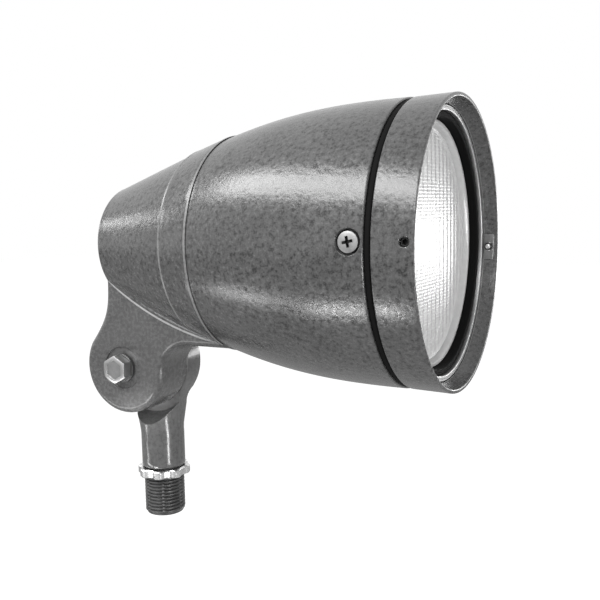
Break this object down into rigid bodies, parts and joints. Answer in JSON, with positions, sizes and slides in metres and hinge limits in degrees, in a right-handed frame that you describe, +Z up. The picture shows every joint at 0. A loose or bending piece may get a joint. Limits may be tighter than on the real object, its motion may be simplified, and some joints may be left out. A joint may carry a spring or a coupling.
{
  "type": "directional floodlight",
  "caption": "Bullet-shaped LED floodlight with a round fluted lens, on a swivel knuckle with a hollow threaded stub and notched locknut, tilts up and down",
  "frame": {"origin": "centre of the lower end face of the threaded stub", "axes": "+Z up along the stub, +X the way the light points at rest, the head of the pivot bolt on the -Y side"},
  "size_m": [0.1949, 0.129, 0.2097],
  "materials": {
    "textured_grey_paint": "fine textured grey paint on cast aluminium",
    "arm_grey_paint": "smooth grey paint on cast aluminium",
    "dark_thread": "dark threaded steel",
    "bright_zinc": "bright zinc plate",
    "steel": "plain stainless steel",
    "black_rubber": "matt black rubber",
    "bare_aluminium": "bare aluminium",
    "clear_lens": "clear glass with a fine fluted pattern",
    "bright_reflector": "bright anodised aluminium",
    "white_board": "white solder mask",
    "phosphor": "pale yellow phosphor over the emitters",
    "driver_case": "black potted case"
  },
  "bodies": {
    "arm": {"swivel_arm": "arm_grey_paint", "threaded_stub": "dark_thread", "pivot_bolt": "bright_zinc", "bolt_washer": "bright_zinc", "nut_washer": "bright_zinc", "pivot_nut": "bright_zinc"},
    "head": {"housing": "textured_grey_paint", "front_hood": "textured_grey_paint", "knuckle_oring": "black_rubber", "seam_gasket": "black_rubber", "lens_gasket": "black_rubber", "lens_ring": "bare_aluminium", "lens": "clear_lens", "hood_screw_near": "steel", "hood_screw_far": "steel", "set_screw_near": "steel", "set_screw_far": "steel", "reflector": "bright_reflector", "led_emitter": "phosphor", "led_board": "white_board", "board_screw_1": "steel", "board_screw_2": "steel", "heat_plate": "bare_aluminium", "plate_screw_1": "steel", "plate_screw_2": "steel", "plate_screw_3": "steel", "standoff_1": "steel", "standoff_2": "steel", "driver_plate": "steel", "driver": "driver_case"},
    "locknut": {"locknut": "bright_zinc"}
  },
  "joints": [
    {"name": "head_tilt", "type": "hinge", "parent": "arm", "child": "head", "pos_m": [-0.0056, 0, 0.0827], "axis": [0, -1, 0], "range_deg": [-65, 90]},
    {"name": "locknut_travel", "type": "slide", "parent": "arm", "child": "locknut", "axis": [0, 0, -1], "range_m": [0, 0.0195]}
  ]
}
